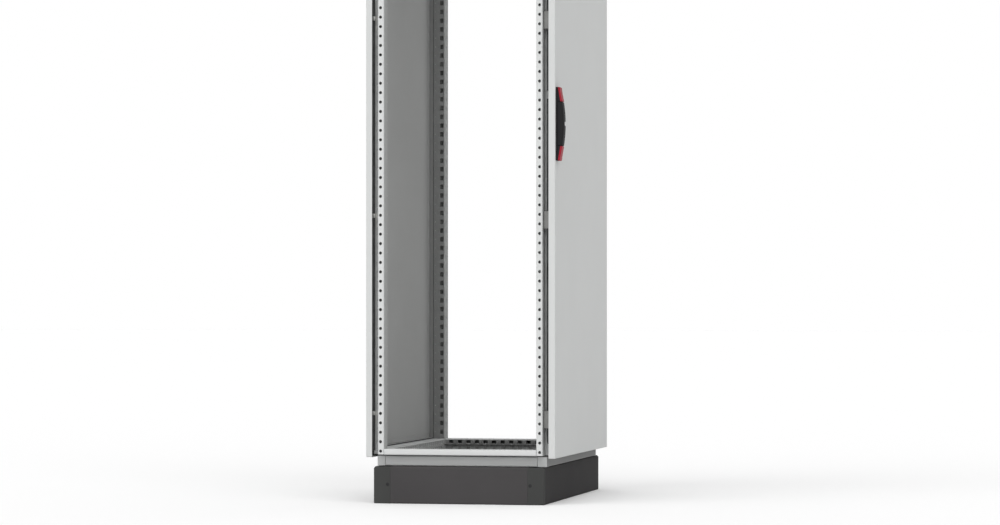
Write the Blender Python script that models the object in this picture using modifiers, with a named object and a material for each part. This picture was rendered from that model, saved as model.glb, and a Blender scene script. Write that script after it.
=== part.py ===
"""Bayable floor-standing switchgear cabinet, closed, with its two end sides open.

+Z is up, the door faces -Y and the open ends face -X and +X. The shapes are laid out about
the plane midway between the front and rear hole columns; one empty then shifts them so that
the origin lies under the middle of the whole cabinet, handle included. Units are metres.
"""
import math

import bmesh
import bpy
from mathutils import Matrix, Vector

# ---- driving dimensions ----------------------------------------------------------------
CLEARANCE = 0.0003          # between touching pieces
SHEET = 0.002               # folded sheet steel

FRAME_WIDTH = 0.770         # post face to post face, along X
COLUMN_SPACING = 0.430      # front hole column to rear hole column, along Y
FRAME_HEIGHT = 1.7426       # post length

PLINTH_HEIGHT = 0.100
PLINTH_END_OVERHANG = 0.01375     # past the post faces, along X
PLINTH_FRONT_OVERHANG = 0.00775   # past the post sides, along Y
PLINTH_COLUMN_RADIUS = 0.012      # rounded corner column
PLINTH_SIDE_FLANGE = 0.050        # top flange of the end covers
PLINTH_FRONT_FLANGE = 0.010       # top flange of the front and rear covers
PLINTH_FOOT_FLANGE = 0.020        # bottom flange of the end covers
PLINTH_BRACKET_LEG = 0.060        # screw flange of a corner, behind the covers
PLINTH_BRACKET_WALL = 0.003

BASE_HEIGHT = 0.029
BASE_END_INSET = 0.02775          # behind the post faces, along X
BASE_FRONT_OVERHANG = 0.0075      # past the post sides, along Y
BASE_WALL = 0.010
BASE_CORNER = 0.022

POST_DEPTH = 0.041                # along X
POST_INNER = 0.0095               # hole column to the post's inner side
POST_OUTER = 0.0075               # hole column to the post's outer side
LIP_LENGTH = 0.016                # sealing lip, outward from the post side
HOLE_PITCH = 0.025
HOLE_MARGIN = 0.0088              # post end to its first hole
HOLE_RADIUS = 0.0041

RAIL_FACE = 0.0156                # outer face height of a frame rail
RAIL_WEB = 0.038                  # inner face height of a frame rail

PANEL_OVERLAP_X = 0.0015          # door and rear panel past the post faces
PANEL_OVERLAP_Z = 0.0075          # door and rear panel past the post ends
DOOR_STANDOFF = 0.0165            # post side to the door's inner edge
DOOR_THICKNESS = 0.0178
REAR_STANDOFF = 0.0153
REAR_THICKNESS = 0.0164
EDGE_BEVEL = 0.0015
SEAL_OUTSIDE = 0.006              # seal, from the lip's middle outward
SEAL_INSIDE = 0.016               # seal, from the lip's middle inward

ROOF_HEIGHT = 0.0284
ROOF_FRONT_OVERHANG = 0.0015      # past the post sides, along Y; the open door clears it

FITTING_FIRST = 0.095             # lowest hinge and keeper, above the post's foot
FITTING_PITCH = 0.525
FITTING_COUNT = 4
KEEPER_HEIGHT = 0.046
KEEPER_MOUTH = 0.018              # clear width between a keeper's legs
KEEPER_LEG = 0.0145

HINGE_AXIS_INSET = 0.0065         # hinge axis from the door's edge, along X
HINGE_AXIS_DEPTH = 0.0015         # hinge axis behind the door's inner edge, along Y
HINGE_HEIGHT = 0.050
HINGE_KNUCKLE = 0.018             # height of the door leaf's knuckle
HINGE_KNUCKLE_RADIUS = 0.0040
HINGE_PIN_RADIUS = 0.0020
HINGE_BORE_CLEARANCE = 0.00035
HINGE_LEAF_WIDTH = 0.018
HINGE_ARM = 0.0026
HINGE_ARM_ANGLE = math.radians(150)

HANDLE_CENTRE_Z = 1.0005
HANDLE_HEIGHT = 0.193
HANDLE_WIDTH = 0.032
HANDLE_EDGE_INSET = 0.007         # door edge to the handle's side
HANDLE_BASE = 0.0045
HANDLE_END_RISE = 0.0105          # above the door face, at the handle's ends
HANDLE_MID_RISE = 0.0205          # above the door face, at its middle
HANDLE_CAP = 0.038                # length of each end cap
HANDLE_ROUND = 0.0025
HANDLE_STEPS = 12
SPINDLE_RADIUS = 0.005
CAM_RADIUS = 0.012
CAM_THICKNESS = 0.0024
ROD_WIDTH = 0.012
ROD_DEPTH = 0.0077
ROD_TRAVEL = 0.010
ROD_END_MARGIN = 0.031            # rod tip short of the post's end
GUIDE_HEIGHT = 0.040
LOCK_CYLINDER_RADIUS = 0.006
LOCK_CYLINDER_DEPTH = 0.008       # below the grip's face
LOCK_CYLINDER_PROUD = 0.002       # above the grip's face
KEY_SLOT = (0.0018, 0.007, 0.003)

# ---- derived places --------------------------------------------------------------------
HALF_X = FRAME_WIDTH / 2
COLUMN_Y = COLUMN_SPACING / 2
SIDE_Y = COLUMN_Y + POST_OUTER
INNER_Y = COLUMN_Y - POST_INNER
POST_WIDTH = POST_INNER + POST_OUTER
FRAME_BOTTOM = PLINTH_HEIGHT + BASE_HEIGHT
FRAME_TOP = FRAME_BOTTOM + FRAME_HEIGHT
HOLE_COUNT = int((FRAME_HEIGHT - 2 * HOLE_MARGIN) / HOLE_PITCH + 1.001)

PANEL_HALF_X = HALF_X + PANEL_OVERLAP_X
PANEL_BOTTOM = FRAME_BOTTOM - PANEL_OVERLAP_Z
PANEL_TOP = FRAME_TOP + PANEL_OVERLAP_Z
DOOR_INNER = SIDE_Y + DOOR_STANDOFF
DOOR_FACE = DOOR_INNER + DOOR_THICKNESS
DOOR_SKIN = DOOR_FACE - SHEET
REAR_INNER = SIDE_Y + REAR_STANDOFF
REAR_FACE = REAR_INNER + REAR_THICKNESS
LIP_TIP = SIDE_Y + LIP_LENGTH

HINGE_X = PANEL_HALF_X - HINGE_AXIS_INSET
HINGE_Y = -(DOOR_INNER - HINGE_AXIS_DEPTH)

HANDLE_X = -PANEL_HALF_X + HANDLE_EDGE_INSET + HANDLE_WIDTH / 2
HANDLE_TOP = HANDLE_CENTRE_Z + HANDLE_HEIGHT / 2
HANDLE_FOOT = HANDLE_CENTRE_Z - HANDLE_HEIGHT / 2
SPINDLE_Z = HANDLE_TOP - HANDLE_CAP / 2
GRIP_TOP = HANDLE_TOP - HANDLE_CAP - CLEARANCE
GRIP_FOOT = HANDLE_FOOT + HANDLE_CAP + CLEARANCE
ROD_OUTER = DOOR_INNER - CLEARANCE
ROD_INNER = ROD_OUTER - ROD_DEPTH

ORIGIN_SHIFT_Y = (DOOR_FACE + HANDLE_MID_RISE + LOCK_CYLINDER_PROUD - REAR_FACE) / 2


# ---- helpers ---------------------------------------------------------------------------
def clear_scene():
    for obj in list(bpy.data.objects):
        bpy.data.objects.remove(obj, do_unlink=True)


def make_material(name, color, roughness, metallic=0.0):
    mat = bpy.data.materials.new(name)
    mat.use_nodes = True
    shader = mat.node_tree.nodes["Principled BSDF"]
    shader.inputs["Base Color"].default_value = (*color, 1.0)
    shader.inputs["Roughness"].default_value = roughness
    shader.inputs["Metallic"].default_value = metallic
    return mat


def link(name, data, matrix=None):
    obj = bpy.data.objects.new(name, data)
    PARTS.objects.link(obj)
    obj.matrix_world = matrix or Matrix()
    return obj


def bake(obj):
    """Replace an object's mesh by the evaluated one and drop its modifiers."""
    bpy.context.view_layer.update()
    graph = bpy.context.evaluated_depsgraph_get()
    mesh = bpy.data.meshes.new_from_object(obj.evaluated_get(graph))
    obj.modifiers.clear()
    obj.data = mesh
    return obj


def bevel(obj, width, segments=2):
    modifier = obj.modifiers.new("Bevel", "BEVEL")
    modifier.width = width
    modifier.segments = segments
    modifier.limit_method = "ANGLE"
    return bake(obj)


def box(name, low, high):
    low = Vector(low)
    high = Vector(high)
    mesh = bpy.data.meshes.new(name)
    bm = bmesh.new()
    bmesh.ops.create_cube(bm, size=1.0)
    bmesh.ops.scale(bm, vec=high - low, verts=bm.verts)
    bm.to_mesh(mesh)
    bm.free()
    return link(name, mesh, Matrix.Translation((low + high) / 2))


def cylinder(name, radius, low, high, segments=16):
    """A cylinder between its two axis ends."""
    low = Vector(low)
    high = Vector(high)
    mesh = bpy.data.meshes.new(name)
    bm = bmesh.new()
    bmesh.ops.create_cone(bm, cap_ends=True, segments=segments, radius1=radius,
                          radius2=radius, depth=(high - low).length)
    bm.to_mesh(mesh)
    bm.free()
    turn = Vector((0, 0, 1)).rotation_difference(high - low).to_matrix().to_4x4()
    return link(name, mesh, Matrix.Translation((low + high) / 2) @ turn)


AXIS_FRAMES = {
    "X": Matrix(((0, 0, 1, 0), (1, 0, 0, 0), (0, 1, 0, 0), (0, 0, 0, 1))),   # outline in Y, Z
    "Y": Matrix(((1, 0, 0, 0), (0, 0, -1, 0), (0, 1, 0, 0), (0, 0, 0, 1))),  # outline in X, Z
    "Z": Matrix(),                                                           # outline in X, Y
}


def prism(name, outlines, axis, low, high):
    """Extrude flat outlines (the first, with any others as holes) along an axis."""
    curve = bpy.data.curves.new(name, "CURVE")
    curve.dimensions = "2D"
    curve.fill_mode = "BOTH"
    curve.extrude = (high - low) / 2
    for outline in outlines:
        spline = curve.splines.new("POLY")
        spline.points.add(len(outline) - 1)
        for point, (a, b) in zip(spline.points, outline):
            point.co = (a, b, 0, 1)
        spline.use_cyclic_u = True
    frame = AXIS_FRAMES[axis]
    shape = link(name + "_outline", curve, frame)
    bpy.context.view_layer.update()
    graph = bpy.context.evaluated_depsgraph_get()
    mesh = bpy.data.meshes.new_from_object(shape.evaluated_get(graph))
    bpy.data.objects.remove(shape, do_unlink=True)
    bm = bmesh.new()
    bm.from_mesh(mesh)
    bmesh.ops.remove_doubles(bm, verts=bm.verts, dist=0.00001)
    bmesh.ops.recalc_face_normals(bm, faces=bm.faces)
    bm.to_mesh(mesh)
    bm.free()
    place = Vector((0, 0, 0))
    place["XYZ".index(axis)] = (low + high) / 2
    return link(name, mesh, Matrix.Translation(place) @ frame)


def combine(obj, others, operation):
    """Join others to obj (UNION) or cut them out of it (DIFFERENCE)."""
    for other in others:
        modifier = obj.modifiers.new(operation.title(), "BOOLEAN")
        modifier.operation = operation
        modifier.object = other
        modifier.solver = "EXACT"
    bake(obj)
    for other in others:
        bpy.data.objects.remove(other, do_unlink=True)
    return obj


def give(obj, material, smooth=False):
    """Set the material, shade the piece and hang it on the cabinet's origin."""
    obj.data.materials.clear()
    obj.data.materials.append(material)
    if smooth:
        obj.data.shade_smooth()
        obj.data.set_sharp_from_angle(angle=math.radians(35))
    obj.parent = ORIGIN
    return obj


def copy_to(obj, name, shift):
    """Another object on the same mesh, moved by shift."""
    other = bpy.data.objects.new(name, obj.data)
    PARTS.objects.link(other)
    other.parent = ORIGIN
    other.matrix_local = Matrix.Translation(shift) @ obj.matrix_local
    return other


def tray(name, low, high, open_axis, open_sign):
    """A sheet tray: five walls of a box, open on one side."""
    shape = box(name, low, high)
    bm = bmesh.new()
    bm.from_mesh(shape.data)
    mouth = [face for face in bm.faces if face.normal[open_axis] * open_sign > 0.9]
    bmesh.ops.delete(bm, geom=mouth, context="FACES")
    bm.to_mesh(shape.data)
    bm.free()
    modifier = shape.modifiers.new("Solidify", "SOLIDIFY")
    modifier.thickness = SHEET
    modifier.offset = -1
    modifier.use_even_offset = True
    return bevel(bake(shape), EDGE_BEVEL / 2, 1)


def seal_ring(name, lip_z, y_low, y_high):
    """A foam seal that follows the frame's sealing lips all round."""
    lip_x = HALF_X - POST_DEPTH + SHEET / 2
    outlines = []
    for grow in (SEAL_OUTSIDE, -SEAL_INSIDE):
        x = lip_x + grow
        z_low = lip_z - grow
        z_high = FRAME_BOTTOM + FRAME_TOP - lip_z + grow
        outlines.append([(-x, z_low), (x, z_low), (x, z_high), (-x, z_high)])
    return prism(name, outlines, "Y", y_low, y_high)


def signed(points, sign_a, sign_b=1):
    return [(a * sign_a, b * sign_b) for a, b in points]


# ---- plinth ----------------------------------------------------------------------------
PLINTH_X = HALF_X + PLINTH_END_OVERHANG
PLINTH_Y = SIDE_Y + PLINTH_FRONT_OVERHANG


def cover_outline(face, top_flange, foot_flange):
    """C section of a plinth cover: its face at `face`, flanges turned inward."""
    inside = face - SHEET
    return [(face, 0), (face, PLINTH_HEIGHT), (face - top_flange, PLINTH_HEIGHT),
            (face - top_flange, PLINTH_HEIGHT - SHEET), (inside, PLINTH_HEIGHT - SHEET),
            (inside, SHEET), (face - foot_flange, SHEET), (face - foot_flange, 0)]


def build_plinth():
    end = PLINTH_COLUMN_RADIUS + CLEARANCE
    side = cover_outline(PLINTH_X, PLINTH_SIDE_FLANGE, PLINTH_FOOT_FLANGE)
    front = cover_outline(PLINTH_Y, PLINTH_FRONT_FLANGE, PLINTH_FRONT_FLANGE)
    for name, sign in (("left", -1), ("right", 1)):
        cover = prism(f"plinth_{name}_cover", [signed(side, sign)], "Y",
                      end - PLINTH_Y, PLINTH_Y - end)
        give(cover, PLINTH_GREY)
    for name, sign in (("front", -1), ("rear", 1)):
        cover = prism(f"plinth_{name}_cover", [signed(front, sign)], "X",
                      end - PLINTH_X, PLINTH_X - end)
        give(cover, PLINTH_GREY)
    for x_name, y_name, sx, sy in QUARTERS:
        build_plinth_corner(f"plinth_corner_{y_name}_{x_name}", sx, sy)


def build_plinth_corner(name, sx, sy):
    radius = PLINTH_COLUMN_RADIUS
    steps = 6
    arc = [math.pi / 2 * step / steps for step in range(steps + 1)]
    column = [(PLINTH_X - radius + radius * math.cos(a), PLINTH_Y - radius + radius * math.sin(a))
              for a in arc]
    column.append((PLINTH_X - radius, PLINTH_Y - radius))
    skin = SHEET + CLEARANCE
    near_x = PLINTH_X - skin
    near_y = PLINTH_Y - skin
    wall = PLINTH_BRACKET_WALL
    far_x = PLINTH_X - PLINTH_BRACKET_LEG
    far_y = PLINTH_Y - PLINTH_BRACKET_LEG
    bracket = [(near_x, near_y), (near_x, far_y), (near_x - wall, far_y),
               (near_x - wall, near_y - wall), (far_x, near_y - wall), (far_x, near_y)]
    corner = prism(name, [signed(column, sx, sy)], "Z", 0, PLINTH_HEIGHT)
    flange = prism(name + "_bracket", [signed(bracket, sx, sy)], "Z",
                   skin, PLINTH_HEIGHT - skin)
    give(combine(corner, [flange], "UNION"), PLINTH_CORNER_GREY, smooth=True)


# ---- base frame ------------------------------------------------------------------------
BASE_X = HALF_X - BASE_END_INSET
BASE_Y = SIDE_Y + BASE_FRONT_OVERHANG


def build_base():
    low_z = PLINTH_HEIGHT + CLEARANCE
    high_z = FRAME_BOTTOM - CLEARANCE
    inner_x = BASE_X - BASE_CORNER
    inner_y = BASE_Y - BASE_CORNER
    for name, sign in (("left", -1), ("right", 1)):
        faces = sorted((sign * BASE_X, sign * (BASE_X - BASE_WALL)))
        rail = box(f"base_rail_{name}", (faces[0], CLEARANCE - inner_y, low_z),
                   (faces[1], inner_y - CLEARANCE, high_z))
        give(rail, BODY_GREY)
    for name, sign in (("front", -1), ("rear", 1)):
        faces = sorted((sign * BASE_Y, sign * (BASE_Y - BASE_WALL)))
        rail = box(f"base_rail_{name}", (CLEARANCE - inner_x, faces[0], low_z),
                   (inner_x - CLEARANCE, faces[1], high_z))
        give(rail, BODY_GREY)
    for x_name, y_name, sx, sy in QUARTERS:
        xs = sorted((sx * BASE_X, sx * inner_x))
        ys = sorted((sy * BASE_Y, sy * inner_y))
        block = box(f"base_corner_{y_name}_{x_name}", (xs[0], ys[0], low_z),
                    (xs[1], ys[1], high_z))
        give(bevel(block, EDGE_BEVEL), BODY_GREY)


# ---- frame -----------------------------------------------------------------------------
def build_post(name, sx, sy):
    """Box post with a sealing lip; its outer face has the 25 mm row of holes."""
    face = HALF_X
    back = HALF_X - POST_DEPTH
    outer = [(face, INNER_Y), (face, SIDE_Y), (back + SHEET, SIDE_Y), (back + SHEET, LIP_TIP),
             (back, LIP_TIP), (back, INNER_Y)]
    hollow = [(face - SHEET, INNER_Y + SHEET), (face - SHEET, SIDE_Y - SHEET),
              (back + SHEET, SIDE_Y - SHEET), (back + SHEET, INNER_Y + SHEET)]
    post = prism(name, [signed(outer, sx, sy), signed(hollow, sx, sy)], "Z",
                 FRAME_BOTTOM, FRAME_TOP)
    reach = 2 * SHEET
    mesh = bpy.data.meshes.new(name + "_holes")
    bm = bmesh.new()
    along_x = Matrix.Rotation(math.pi / 2, 4, "Y")
    for index in range(HOLE_COUNT):
        z = FRAME_BOTTOM + HOLE_MARGIN + index * HOLE_PITCH
        place = Matrix.Translation((sx * face, sy * COLUMN_Y, z)) @ along_x
        bmesh.ops.create_cone(bm, cap_ends=True, segments=6, radius1=HOLE_RADIUS,
                              radius2=HOLE_RADIUS, depth=2 * reach, matrix=place)
    bm.to_mesh(mesh)
    bm.free()
    give(combine(post, [link(name + "_holes", mesh)], "DIFFERENCE"), BODY_GREY)


def rail_outline(depth, lip):
    """Rail section as (inward, upward) from the frame's outer bottom edge."""
    top = RAIL_FACE
    under = RAIL_FACE - SHEET
    points = [(0, 0), (0, top), (depth, top), (depth, top - RAIL_WEB),
              (depth - SHEET, top - RAIL_WEB), (depth - SHEET, under), (SHEET, under),
              (SHEET, 0)]
    if lip:
        points[1:2] = [(0, under), (-lip, under), (-lip, top)]
    return points


def build_rails():
    end = rail_outline(POST_DEPTH, 0)
    front = rail_outline(POST_WIDTH, LIP_LENGTH)
    for level, foot, up in (("bottom", FRAME_BOTTOM, 1), ("top", FRAME_TOP, -1)):
        for name, sign in (("left", -1), ("right", 1)):
            outline = [(sign * (HALF_X - a), foot + up * b) for a, b in end]
            reach = INNER_Y - CLEARANCE
            give(prism(f"{level}_rail_{name}", [outline], "Y", -reach, reach), BODY_GREY)
        for name, sign in (("front", -1), ("rear", 1)):
            outline = [(sign * (SIDE_Y - a), foot + up * b) for a, b in front]
            reach = HALF_X - POST_DEPTH - CLEARANCE
            give(prism(f"{level}_rail_{name}", [outline], "X", -reach, reach), BODY_GREY)


def build_frame():
    for x_name, y_name, sx, sy in QUARTERS:
        build_post(f"post_{y_name}_{x_name}", sx, sy)
    build_rails()


# ---- roof and rear panel ---------------------------------------------------------------
def build_panels():
    roof_y = SIDE_Y + ROOF_FRONT_OVERHANG
    foot = FRAME_TOP + CLEARANCE
    roof = tray("roof_panel", (-HALF_X, -roof_y, foot),
                (HALF_X, roof_y, FRAME_TOP + ROOF_HEIGHT), 2, -1)
    give(roof, BODY_GREY)
    rear = tray("rear_panel", (-PANEL_HALF_X, REAR_INNER, PANEL_BOTTOM),
                (PANEL_HALF_X, REAR_FACE, PANEL_TOP), 1, -1)
    give(rear, BODY_GREY)
    lip_z = FRAME_BOTTOM + RAIL_FACE - SHEET / 2
    seal = seal_ring("rear_panel_seal", lip_z, LIP_TIP + CLEARANCE,
                     REAR_FACE - SHEET - CLEARANCE)
    give(seal, SEAL_BLACK)


# ---- door ------------------------------------------------------------------------------
def build_door():
    door = tray("door_panel", (-PANEL_HALF_X, -DOOR_FACE, PANEL_BOTTOM),
                (PANEL_HALF_X, -DOOR_INNER, PANEL_TOP), 1, 1)
    bore = cylinder("spindle_bore", SPINDLE_RADIUS + 2 * CLEARANCE,
                    (HANDLE_X, -DOOR_FACE - SHEET, SPINDLE_Z),
                    (HANDLE_X, -DOOR_SKIN + SHEET, SPINDLE_Z))
    give(combine(door, [bore], "DIFFERENCE"), BODY_GREY)
    lip_z = FRAME_BOTTOM + RAIL_FACE - SHEET / 2
    seal = seal_ring("door_seal", lip_z, CLEARANCE - DOOR_SKIN, -LIP_TIP - CLEARANCE)
    give(seal, SEAL_BLACK)


def fitting_heights():
    return [FRAME_BOTTOM + FITTING_FIRST + index * FITTING_PITCH
            for index in range(FITTING_COUNT)]


def arm_outline(start, end, width):
    """A straight arm between two points, as a four-cornered outline."""
    along = (Vector(end) - Vector(start)).normalized()
    across = Vector((-along.y, along.x)) * width / 2
    corners = (Vector(start) + across, Vector(end) + across, Vector(end) - across,
               Vector(start) - across)
    return [tuple(corner) for corner in corners]


def build_hinges():
    axis = Vector((HINGE_X, HINGE_Y))
    heights = fitting_heights()
    z = heights[0]
    half = HINGE_HEIGHT / 2
    gap = HINGE_KNUCKLE / 2 + CLEARANCE
    bore_radius = HINGE_PIN_RADIUS + HINGE_BORE_CLEARANCE

    plate_y = -(SIDE_Y + CLEARANCE)
    plate_back = plate_y - SHEET
    run = (plate_back - HINGE_Y) / math.tan(math.pi - HINGE_ARM_ANGLE)
    root = (HINGE_X - run - HINGE_ARM / 4, plate_back + SHEET / 4)
    frame_leaf = box("hinge_frame_leaf_1", (root[0] - HINGE_LEAF_WIDTH / 2, plate_back, z - half),
                     (root[0] + HINGE_LEAF_WIDTH / 2, plate_y, z + half))
    knuckles = []
    for low, high in ((z - half, z - gap), (z + gap, z + half)):
        knuckles.append(cylinder("knuckle", HINGE_KNUCKLE_RADIUS, (*axis, low), (*axis, high)))
        arm = prism("arm", [arm_outline(axis, root, HINGE_ARM)], "Z", low, high)
        knuckles.append(arm)
    combine(frame_leaf, knuckles, "UNION")
    bore = cylinder("bore", bore_radius, (*axis, z - HINGE_HEIGHT), (*axis, z + HINGE_HEIGHT), 12)
    give(combine(frame_leaf, [bore], "DIFFERENCE"), HINGE_ZINC, smooth=True)

    leaf_face = CLEARANCE - DOOR_SKIN
    leaf_x = HINGE_X - HINGE_KNUCKLE_RADIUS
    leaf_inner = HALF_X - POST_DEPTH + SHEET / 2 + SEAL_OUTSIDE + SHEET
    door_leaf = box("hinge_door_leaf_1", (leaf_inner, leaf_face, z - HINGE_KNUCKLE / 2),
                    (leaf_x + HINGE_ARM / 2, leaf_face + SHEET, z + HINGE_KNUCKLE / 2))
    knuckle = cylinder("knuckle", HINGE_KNUCKLE_RADIUS, (*axis, z - HINGE_KNUCKLE / 2),
                       (*axis, z + HINGE_KNUCKLE / 2))
    arm = prism("arm", [arm_outline(axis, (leaf_x - HINGE_ARM / 2, leaf_face + SHEET / 2),
                                    HINGE_ARM)],
                "Z", z - HINGE_KNUCKLE / 2, z + HINGE_KNUCKLE / 2)
    combine(door_leaf, [knuckle, arm], "UNION")
    bore = cylinder("bore", bore_radius, (*axis, z - HINGE_HEIGHT), (*axis, z + HINGE_HEIGHT), 12)
    give(combine(door_leaf, [bore], "DIFFERENCE"), HINGE_ZINC, smooth=True)

    pin = cylinder("hinge_pin_1", HINGE_PIN_RADIUS, (*axis, z - half), (*axis, z + half), 12)
    give(pin, HINGE_ZINC, smooth=True)
    for piece in (frame_leaf, door_leaf, pin):
        for index, height in enumerate(heights[1:], start=2):
            copy_to(piece, piece.name[:-1] + str(index), (0, 0, height - z))


def build_keepers():
    """U-shaped keepers on the front left post; the lock rods lie in their mouths."""
    plate_y = -(SIDE_Y + CLEARANCE)
    half_mouth = KEEPER_MOUTH / 2
    half_width = half_mouth + SHEET
    tip = plate_y - KEEPER_LEG
    inner = plate_y - SHEET
    outline = [(-half_width, plate_y), (half_width, plate_y), (half_width, tip),
               (half_mouth, tip), (half_mouth, inner), (-half_mouth, inner),
               (-half_mouth, tip), (-half_width, tip)]
    outline = [(HANDLE_X + a, b) for a, b in outline]
    heights = fitting_heights()
    half = KEEPER_HEIGHT / 2
    keeper = prism("rod_keeper_1", [outline], "Z", heights[0] - half, heights[0] + half)
    give(keeper, HINGE_ZINC)
    for index, height in enumerate(heights[1:], start=2):
        copy_to(keeper, f"rod_keeper_{index}", (0, 0, height - heights[0]))


# ---- lock ------------------------------------------------------------------------------
def handle_rise(z):
    """Height of the bowed handle above the door face at height z."""
    share = (z - HANDLE_CENTRE_Z) / (HANDLE_HEIGHT / 2)
    return HANDLE_END_RISE + (HANDLE_MID_RISE - HANDLE_END_RISE) * math.cos(share * math.pi / 2)


def handle_slice(name, low, high, inset):
    """The part of the bowed handle between two heights."""
    back = -(DOOR_FACE + HANDLE_BASE + 2 * CLEARANCE)
    steps = max(2, round(HANDLE_STEPS * (high - low) / HANDLE_HEIGHT) * 2)
    heights = [low + (high - low) * step / steps for step in range(steps + 1)]
    outline = [(-(DOOR_FACE + handle_rise(z)), z) for z in heights]
    outline += [(back, high), (back, low)]
    width = HANDLE_WIDTH / 2 - inset
    piece = prism(name, [outline], "X", HANDLE_X - width, HANDLE_X + width)
    modifier = piece.modifiers.new("Bevel", "BEVEL")
    modifier.width = HANDLE_ROUND
    modifier.segments = 2
    modifier.limit_method = "ANGLE"
    modifier.angle_limit = math.radians(50)
    return bake(piece)


def build_handle():
    half = HANDLE_WIDTH / 2
    base = box("handle_base", (HANDLE_X - half, -DOOR_FACE - HANDLE_BASE, HANDLE_FOOT),
               (HANDLE_X + half, -DOOR_FACE - CLEARANCE, HANDLE_TOP))
    bore = cylinder("bore", SPINDLE_RADIUS + 2 * CLEARANCE,
                    (HANDLE_X, -DOOR_FACE - 2 * HANDLE_BASE, SPINDLE_Z),
                    (HANDLE_X, -DOOR_SKIN, SPINDLE_Z))
    give(combine(base, [bore], "DIFFERENCE"), HANDLE_BLACK)

    hub = handle_slice("handle_hub_cap", HANDLE_TOP - HANDLE_CAP, HANDLE_TOP, 0)
    give(hub, HANDLE_RED, smooth=True)
    tip = handle_slice("handle_tip_cap", HANDLE_FOOT, HANDLE_FOOT + HANDLE_CAP, 0)
    give(tip, HANDLE_RED, smooth=True)

    grip = handle_slice("handle_grip", GRIP_FOOT, GRIP_TOP, 0)
    face = -(DOOR_FACE + HANDLE_MID_RISE)
    pocket = cylinder("pocket", LOCK_CYLINDER_RADIUS + CLEARANCE,
                      (HANDLE_X, face - SHEET, HANDLE_CENTRE_Z),
                      (HANDLE_X, face + LOCK_CYLINDER_DEPTH + CLEARANCE, HANDLE_CENTRE_Z), 24)
    give(combine(grip, [pocket], "DIFFERENCE"), HANDLE_BLACK, smooth=True)

    barrel = cylinder("lock_cylinder", LOCK_CYLINDER_RADIUS,
                      (HANDLE_X, face - LOCK_CYLINDER_PROUD, HANDLE_CENTRE_Z),
                      (HANDLE_X, face + LOCK_CYLINDER_DEPTH, HANDLE_CENTRE_Z), 24)
    width, height, depth = KEY_SLOT
    front = face - LOCK_CYLINDER_PROUD
    slot = box("slot", (HANDLE_X - width / 2, front - SHEET, HANDLE_CENTRE_Z - height / 2),
               (HANDLE_X + width / 2, front + depth, HANDLE_CENTRE_Z + height / 2))
    give(combine(barrel, [slot], "DIFFERENCE"), LOCK_CHROME, smooth=True)


def build_lock():
    """Spindle with its cam disc, the two rods that it draws in, and their guides."""
    cam_outer = -(ROD_OUTER + CLEARANCE + CAM_THICKNESS)
    cam_inner = -(ROD_OUTER + CLEARANCE)
    back = -(DOOR_FACE + HANDLE_BASE + CLEARANCE)
    spindle = cylinder("lock_spindle", SPINDLE_RADIUS, (HANDLE_X, back, SPINDLE_Z),
                       (HANDLE_X, (cam_outer + cam_inner) / 2, SPINDLE_Z))
    cam = cylinder("cam", CAM_RADIUS, (HANDLE_X, cam_outer, SPINDLE_Z),
                   (HANDLE_X, cam_inner, SPINDLE_Z), 32)
    give(combine(spindle, [cam], "UNION"), LOCK_CHROME, smooth=True)

    half = ROD_WIDTH / 2
    start = ROD_TRAVEL + CLEARANCE * 2
    spans = {"upper": (SPINDLE_Z + start, FRAME_TOP - ROD_END_MARGIN),
             "lower": (FRAME_BOTTOM + ROD_END_MARGIN, SPINDLE_Z - start)}
    for name, (low, high) in spans.items():
        rod = box(f"lock_rod_{name}", (HANDLE_X - half, -ROD_OUTER, low),
                  (HANDLE_X + half, -ROD_INNER, high))
        give(rod, ROD_BLACK)
        middle = (low + high) / 2
        guide = box(f"rod_guide_{name}",
                    (HANDLE_X - half, CLEARANCE - DOOR_SKIN, middle - GUIDE_HEIGHT / 2),
                    (HANDLE_X + half, -ROD_OUTER - CLEARANCE, middle + GUIDE_HEIGHT / 2))
        give(guide, HANDLE_BLACK)


# ---- build -----------------------------------------------------------------------------
clear_scene()
PARTS = bpy.data.collections.new("switchgear_cabinet")
bpy.context.scene.collection.children.link(PARTS)
ORIGIN = bpy.data.objects.new("cabinet_origin", None)
PARTS.objects.link(ORIGIN)
QUARTERS = [("left", "front", -1, -1), ("right", "front", 1, -1),
            ("left", "rear", -1, 1), ("right", "rear", 1, 1)]

BODY_GREY = make_material("powder_coat_grey", (0.63, 0.65, 0.63), 0.45)
PLINTH_GREY = make_material("plinth_grey", (0.072, 0.070, 0.068), 0.55)
PLINTH_CORNER_GREY = make_material("plinth_corner_grey", (0.060, 0.065, 0.062), 0.6)
SEAL_BLACK = make_material("seal_foam", (0.012, 0.012, 0.012), 0.9)
HINGE_ZINC = make_material("zinc_plate", (0.55, 0.55, 0.53), 0.35, 1.0)
HANDLE_BLACK = make_material("handle_black", (0.018, 0.018, 0.020), 0.4)
HANDLE_RED = make_material("handle_red", (0.32, 0.010, 0.020), 0.4)
LOCK_CHROME = make_material("lock_chrome", (0.60, 0.60, 0.60), 0.2, 1.0)
ROD_BLACK = make_material("rod_black", (0.02, 0.02, 0.02), 0.5, 0.6)

build_plinth()
build_base()
build_frame()
build_panels()
build_door()
build_hinges()
build_keepers()
build_handle()
build_lock()
ORIGIN.location = (0, ORIGIN_SHIFT_Y, 0)
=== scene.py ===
"""Looks of the open-ended switchgear cabinet: folded sheet steel, seals, lock and finishes.

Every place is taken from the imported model's own boxes, in metres, +Z up, door facing -Y.
"""
import math

import bmesh
import bpy
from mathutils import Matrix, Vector
from mathutils.geometry import delaunay_2d_cdt

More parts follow.
